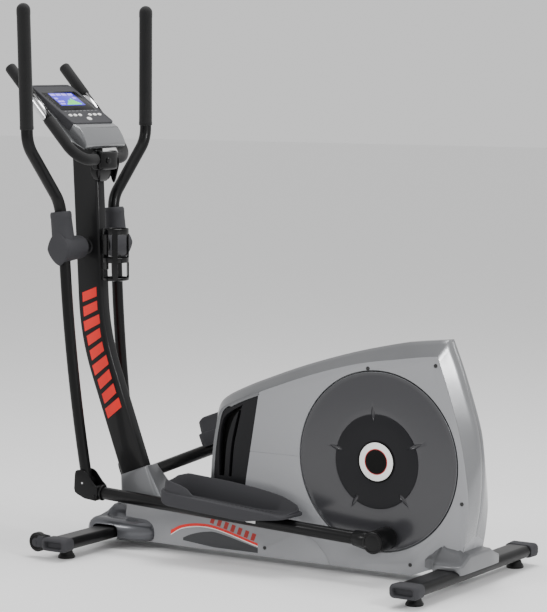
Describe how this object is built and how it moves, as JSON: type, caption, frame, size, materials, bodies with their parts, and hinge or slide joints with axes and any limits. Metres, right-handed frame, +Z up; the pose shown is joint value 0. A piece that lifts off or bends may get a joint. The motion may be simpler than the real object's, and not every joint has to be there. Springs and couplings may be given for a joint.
{
  "type": "elliptical trainer",
  "caption": "Elliptical trainer with a covered crank and belt drive, pedal arms on swinging handlebars, a bent mast, a console and a fixed rail.",
  "frame": {"origin": "on the floor, under the middle of the bounding box", "axes": "+X to the rear, from the console towards the covered crank; +Y to the machine's right; +Z up"},
  "size_m": [1.5758, 0.7326, 1.6395],
  "materials": {
    "frame_black": "satin",
    "mast_grey": "satin",
    "black_plastic": "matte",
    "shell_silver": "satin metallic",
    "light_silver": "satin metallic",
    "bright_silver": "satin metallic",
    "dark_grey": "satin",
    "disc_black": "gloss",
    "foam": "matte foam",
    "rubber": "matte",
    "chrome": "polished",
    "steel": "machined",
    "iron": "turned",
    "screw_black": "satin",
    "pulley_plastic": "matte",
    "screen": "lit display",
    "key": "satin",
    "board_green": "lacquered"
  },
  "bodies": {
    "frame": {"base_frame": "frame_black", "front_stabilizer": "frame_black", "rear_stabilizer": "frame_black", "end_caps": "black_plastic", "mast": "mast_grey", "mast_base_cover": "light_silver", "left_shell": "shell_silver", "right_shell": "shell_silver", "front_insert": "dark_grey", "top_trim": "light_silver", "rear_fascia": "bright_silver", "front_foot_cover": "dark_grey", "rear_foot_cover": "light_silver", "console_shell": "black_plastic", "console_base": "light_silver", "screen": "screen", "circuit_board": "board_green", "fixed_handlebar": "frame_black", "bar_clamp": "black_plastic", "bar_grips": "foam", "pulse_sensors": "chrome", "bottle_holder": "frame_black", "pivot_axle": "steel", "bearings": "steel", "belt": "rubber", "brake_motor": "pulley_plastic", "fasteners": "screw_black"},
    "crank": {"crank": "steel", "drive_pulley": "pulley_plastic", "left_disc": "disc_black", "right_disc": "disc_black"},
    "flywheel": {"flywheel": "iron"},
    "brake_bracket": {"brake_bracket": "steel"},
    "left_swing": {"left_swing_tube": "frame_black", "left_joint_cover": "black_plastic", "left_handlebar": "frame_black", "left_grip": "foam"},
    "right_swing": {"right_swing_tube": "frame_black", "right_joint_cover": "black_plastic", "right_handlebar": "frame_black", "right_grip": "foam"},
    "left_pin": {"left_clevis_pin": "chrome"},
    "right_pin": {"right_clevis_pin": "chrome"},
    "left_arm": {"left_pedal_arm": "frame_black", "left_pedal": "black_plastic"},
    "right_arm": {"right_pedal_arm": "frame_black", "right_pedal": "black_plastic"},
    "left_wheel": {"left_wheel": "rubber"},
    "right_wheel": {"right_wheel": "rubber"},
    "front_left_foot": {"front_left_foot": "rubber"},
    "front_right_foot": {"front_right_foot": "rubber"},
    "rear_left_foot": {"rear_left_foot": "rubber"},
    "rear_right_foot": {"rear_right_foot": "rubber"},
    "enter_key": {"enter_key": "key"},
    "key_1": {"key_1": "key"},
    "key_2": {"key_2": "key"},
    "key_3": {"key_3": "key"},
    "key_4": {"key_4": "key"},
    "key_5": {"key_5": "key"},
    "key_6": {"key_6": "key"}
  },
  "joints": [
    {"name": "crank_spin", "type": "hinge", "parent": "frame", "child": "crank", "pos_m": [0.4809, 0, 0.338], "axis": [0, -1, 0], "continuous": true},
    {"name": "flywheel_spin", "type": "hinge", "parent": "frame", "child": "flywheel", "pos_m": [0.0859, 0, 0.322], "axis": [0, -1, 0], "continuous": true},
    {"name": "brake_tilt", "type": "hinge", "parent": "frame", "child": "brake_bracket", "pos_m": [-0.03555, 0, 0.26537], "axis": [0, 1, 0], "range_deg": [0, 8]},
    {"name": "left_swing_pivot", "type": "hinge", "parent": "frame", "child": "left_swing", "pos_m": [-0.5727, -0.132, 0.9049], "axis": [0, -1, 0], "range_deg": [-16.7, 14.8]},
    {"name": "right_swing_pivot", "type": "hinge", "parent": "frame", "child": "right_swing", "pos_m": [-0.5727, 0.132, 0.9049], "axis": [0, -1, 0], "range_deg": [-14.8, 16.7]},
    {"name": "left_pin_turn", "type": "hinge", "parent": "left_swing", "child": "left_pin", "pos_m": [-0.49195, -0.132, 0.1991], "axis": [0, -1, 0], "range_deg": [-14.8, 16.7]},
    {"name": "right_pin_turn", "type": "hinge", "parent": "right_swing", "child": "right_pin", "pos_m": [-0.51494, 0.132, 0.19685], "axis": [0, -1, 0], "range_deg": [-16.7, 14.8]},
    {"name": "left_arm_pitch", "type": "hinge", "parent": "left_pin", "child": "left_arm", "pos_m": [-0.49195, -0.132, 0.1991], "axis": [0, -1, 0], "range_deg": [0, 24.7]},
    {"name": "right_arm_pitch", "type": "hinge", "parent": "right_pin", "child": "right_arm", "pos_m": [-0.51494, 0.132, 0.19685], "axis": [0, -1, 0], "range_deg": [-24.7, 0]},
    {"name": "left_wheel_spin", "type": "hinge", "parent": "frame", "child": "left_wheel", "pos_m": [-0.5227, -0.334, 0.046], "axis": [0, -1, 0], "continuous": true},
    {"name": "right_wheel_spin", "type": "hinge", "parent": "frame", "child": "right_wheel", "pos_m": [-0.5227, 0.334, 0.046], "axis": [0, -1, 0], "continuous": true},
    {"name": "front_left_foot_height", "type": "slide", "parent": "frame", "child": "front_left_foot", "axis": [0, 0, -1], "range_m": [0, 0.012]},
    {"name": "front_right_foot_height", "type": "slide", "parent": "frame", "child": "front_right_foot", "axis": [0, 0, -1], "range_m": [0, 0.012]},
    {"name": "rear_left_foot_height", "type": "slide", "parent": "frame", "child": "rear_left_foot", "axis": [0, 0, -1], "range_m": [0, 0.012]},
    {"name": "rear_right_foot_height", "type": "slide", "parent": "frame", "child": "rear_right_foot", "axis": [0, 0, -1], "range_m": [0, 0.012]},
    {"name": "key_1_press", "type": "slide", "parent": "frame", "child": "key_1", "axis": [-0.5592, 0, -0.829], "range_m": [0, 0.001], "stiffness_N_per_m": 300},
    {"name": "key_2_press", "type": "slide", "parent": "frame", "child": "key_2", "axis": [-0.5592, 0, -0.829], "range_m": [0, 0.001], "stiffness_N_per_m": 300},
    {"name": "key_3_press", "type": "slide", "parent": "frame", "child": "key_3", "axis": [-0.5592, 0, -0.829], "range_m": [0, 0.001], "stiffness_N_per_m": 300},
    {"name": "key_4_press", "type": "slide", "parent": "frame", "child": "key_4", "axis": [-0.5592, 0, -0.829], "range_m": [0, 0.001], "stiffness_N_per_m": 300},
    {"name": "key_5_press", "type": "slide", "parent": "frame", "child": "key_5", "axis": [-0.5592, 0, -0.829], "range_m": [0, 0.001], "stiffness_N_per_m": 300},
    {"name": "key_6_press", "type": "slide", "parent": "frame", "child": "key_6", "axis": [-0.5592, 0, -0.829], "range_m": [0, 0.001], "stiffness_N_per_m": 300},
    {"name": "enter_key_press", "type": "slide", "parent": "frame", "child": "enter_key", "axis": [-0.5592, 0, -0.829], "range_m": [0, 0.001], "stiffness_N_per_m": 300}
  ],
  "couplings": [
    {"joint": "flywheel_spin", "follows": "crank_spin", "ratio": 6.2},
    {"joint": "right_swing_pivot", "follows": "left_swing_pivot", "ratio": -1},
    {"joint": "left_pin_turn", "follows": "left_swing_pivot", "ratio": -1},
    {"joint": "right_pin_turn", "follows": "left_swing_pivot", "ratio": 1},
    {"joint": "right_arm_pitch", "follows": "left_arm_pitch", "ratio": -1}
  ]
}
